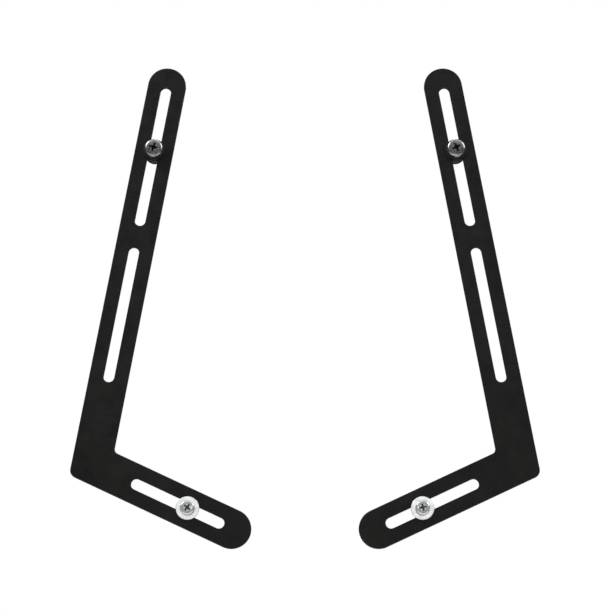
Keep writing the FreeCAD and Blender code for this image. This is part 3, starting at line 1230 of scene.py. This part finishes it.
@dataclass(frozen=True)
class Studio:
    """Pale floor, surroundings, soft lights and the camera.

    Attributes:
        floor_height: height of the floor, in metres.
        floor_size: side of the floor, in metres.
        floor_colour: sRGB colour of the floor.
        floor_roughness: roughness of its paint.
        floor_inner: radius out to which the floor is solid, in metres.
        floor_outer: radius at which it has faded out, in metres.
        plain_level: strength of the even light from all round, where 1 is white.
        dark_side: brightness that metal mirrors at eye level.
        ceiling: brightness that metal mirrors overhead.
        dark_up_to: height of a direction, out of 1, up to which the dark side reaches.
        bright_from: height of a direction from which the ceiling is at its full brightness.
        camera_place: where the camera stands, in metres.
        camera_lens: its focal length, in millimetres.
        lights: the soft lights.
    """

    floor_height: float = -1.6
    floor_size: float = 9.0
    floor_colour: str = "#e2e2df"
    floor_roughness: float = 0.8
    floor_inner: float = 1.6
    floor_outer: float = 4.2
    plain_level: float = 0.76
    dark_side: float = 0.03
    ceiling: float = 0.9
    dark_up_to: float = 0.2
    bright_from: float = 0.9
    camera_place: tuple[float, float, float] = (0.0, -1.295, -0.388)
    camera_lens: float = 119.0
    lights: tuple[SoftLight, ...] = (
        SoftLight("left_softbox", (-1.5, -0.45, 1.3), 1.0, 1.0, 24.0),
        SoftLight("right_softbox", (1.6, -0.4, 1.0), 1.0, 1.0, 16.0),
        SoftLight("back_softbox", (0.4, 1.5, 1.1), 1.2, 1.2, 18.0),
        # Two small cards, each where a lower washer mirrors it, so that the washers look white.
        SoftLight("left_card", (-0.17, -1.6, -0.05), 0.16, 0.22, 0.15),
        SoftLight("right_card", (0.17, -1.6, -0.05), 0.16, 0.22, 0.15),
    )

    def build_world(self) -> None:
        """Surroundings: white to the camera, a studio to what mirrors, an even light to all else."""
        world = bpy.data.worlds.new("white_studio")
        bpy.context.scene.world = world
        world.use_nodes = True
        tree = world.node_tree
        tree.nodes.clear()
        way = add(tree, "TexCoord", {}).outputs["Generated"]
        height = add(tree, "SeparateXYZ", {"Vector": way}).outputs["Z"]
        # What mirrors shows the white studio overhead and a dark side at eye level, as beside a
        # black flag: it draws the dark lines in the metal and keeps the coat black.
        inputs = {
            "Value": height,
            "From Min": self.dark_up_to,
            "From Max": self.bright_from,
            "To Min": self.dark_side,
            "To Max": self.ceiling,
        }
        studio = add(tree, "MapRange", inputs, interpolation_type="SMOOTHSTEP")
        rays = add(tree, "LightPath", {}).outputs
        inputs = {0: rays["Is Glossy Ray"], 1: rays["Is Transmission Ray"]}
        mirrored = add(tree, "Math", inputs, operation="MAXIMUM")
        inputs = {0: mirrored.outputs[0], 2: self.plain_level, 3: studio.outputs["Result"]}
        level = add(tree, "Mix", inputs)
        strength = add(tree, "Mix", {0: rays["Is Camera Ray"], 2: level.outputs[0], 3: 1.0})
        white = linear("#ffffff")
        light = add(tree, "Background", {"Color": white, "Strength": strength.outputs[0]})
        add(tree, "OutputWorld", {"Surface": light.outputs["Background"]})

    def build_floor(self) -> None:
        """Pale matt floor, far below the bracket, which fades out into the white."""
        bm = bmesh.new()
        bmesh.ops.create_grid(bm, x_segments=1, y_segments=1, size=self.floor_size / 2)
        bmesh.ops.translate(bm, verts=bm.verts, vec=(0, 0, self.floor_height))
        mesh = bpy.data.meshes.new("studio_floor")
        bm.to_mesh(mesh)
        bm.free()
        material = bpy.data.materials.new("matt_floor_paint")
        material.use_nodes = True
        tree = material.node_tree
        tree.nodes.clear()
        inputs = {"Base Color": linear(self.floor_colour), "Roughness": self.floor_roughness}
        paint = add(tree, "BsdfPrincipled", inputs)
        place = add(tree, "TexCoord", {}).outputs["Object"]
        flat = add(tree, "VectorMath", {0: place, 1: (1.0, 1.0, 0.0)}, operation="MULTIPLY")
        radius = add(tree, "VectorMath", {0: flat.outputs["Vector"]}, operation="LENGTH")
        inputs = {
            "Value": radius.outputs["Value"],
            "From Min": self.floor_inner,
            "From Max": self.floor_outer,
        }
        fade = add(tree, "MapRange", inputs, interpolation_type="SMOOTHSTEP")
        gone = add(tree, "BsdfTransparent", {})
        inputs = {0: fade.outputs["Result"], 1: paint.outputs["BSDF"], 2: gone.outputs["BSDF"]}
        mixed = add(tree, "MixShader", inputs)
        add(tree, "OutputMaterial", {"Surface": mixed.outputs["Shader"]})
        mesh.materials.append(material)
        floor = bpy.data.objects.new("studio_floor", mesh)
        bpy.context.scene.collection.objects.link(floor)

    def build_camera(self, target: Vector) -> None:
        """Camera below the bracket, tilted up at it.

        Args:
            target: the point in the middle of the picture.
        """
        data = bpy.data.cameras.new("camera")
        data.lens = self.camera_lens
        camera = bpy.data.objects.new("camera", data)
        camera.location = self.camera_place
        camera.rotation_mode = "QUATERNION"
        camera.rotation_quaternion = (camera.location - target).to_track_quat("Z", "Y")
        bpy.context.scene.collection.objects.link(camera)
        bpy.context.scene.camera = camera

    def build(self, target: Vector) -> None:
        """Set up the whole studio.

        Args:
            target: the middle of the bracket.
        """
        bpy.context.scene.view_settings.view_transform = "Standard"
        self.build_world()
        self.build_floor()
        self.build_camera(target)
        for light in self.lights:
            light.build(target)


@dataclass(frozen=True)
class Bracket:
    """Both arms and the screws, washers and spacers that clamp them.

    Attributes:
        upper_turns: angles at which the left and the right upper screw came to a stop.
        lower_turns: the same for the lower screws.
    """

    upper_turns: tuple[float, float] = (18, 64)
    lower_turns: tuple[float, float] = (37, 78)

    def pieces(self) -> Iterator[Arm | Ring | Screw]:
        """All pieces of the bracket, arms first.

        Yields:
            Each piece, not built yet.
        """
        for side in Side:
            yield Arm(side)
        washer_rounds = {"outer_round": 0.25, "bore_round": 0.1}
        sleeve = {"outer_round": 0.6, "bore_round": 0.2, "slot": Slot.SPACER_PLASTIC, "finish": BLACK_ABS}
        large = {"thread": 6, "pitch": 1.0, "reach": 12, "head_width": 12, "head_height": 4.6}
        small = {"thread": 5, "pitch": 0.8, "reach": 10, "head_width": 9.5, "head_height": 3.7}
        nylon = {"slot": Slot.BLACK_NYLON, "finish": BLACK_NYLON}
        plated = {"slot": Slot.ZINC_PLATE, "finish": BRIGHT_ZINC}
        for side, upper_turn, lower_turn in zip(Side, self.upper_turns, self.lower_turns):
            upper = f"{side.label}_{Tier.UPPER.value}"
            lower = f"{side.label}_{Tier.LOWER.value}"
            yield Screw(f"{upper}_screw", shank=5.4, turn=upper_turn, finish=DULL_ZINC, **large)
            yield Ring(f"{upper}_washer", bore=6.4, **washer_rounds, **nylon)
            yield Ring(f"{upper}_spacer", bore=6.5, **sleeve)
            yield Screw(f"{lower}_screw", shank=4.4, turn=lower_turn, finish=BRIGHT_ZINC, **small)
            yield Ring(f"{lower}_washer", bore=5.4, **washer_rounds, **plated)
            yield Ring(f"{lower}_spacer", bore=5.5, **sleeve)

    def build(self) -> None:
        """Build and dress every piece in order."""
        wardrobe = Wardrobe()
        for piece in self.pieces():
            piece.build(wardrobe)


def main() -> None:
    """Set up the studio and build the bracket."""
    logging.basicConfig(level=logging.INFO, format="%(name)s: %(message)s")
    low, high = CAD_BOX
    Studio().build((low + high) / 2)
    Bracket().build()


if __name__ == "__main__":
    main()
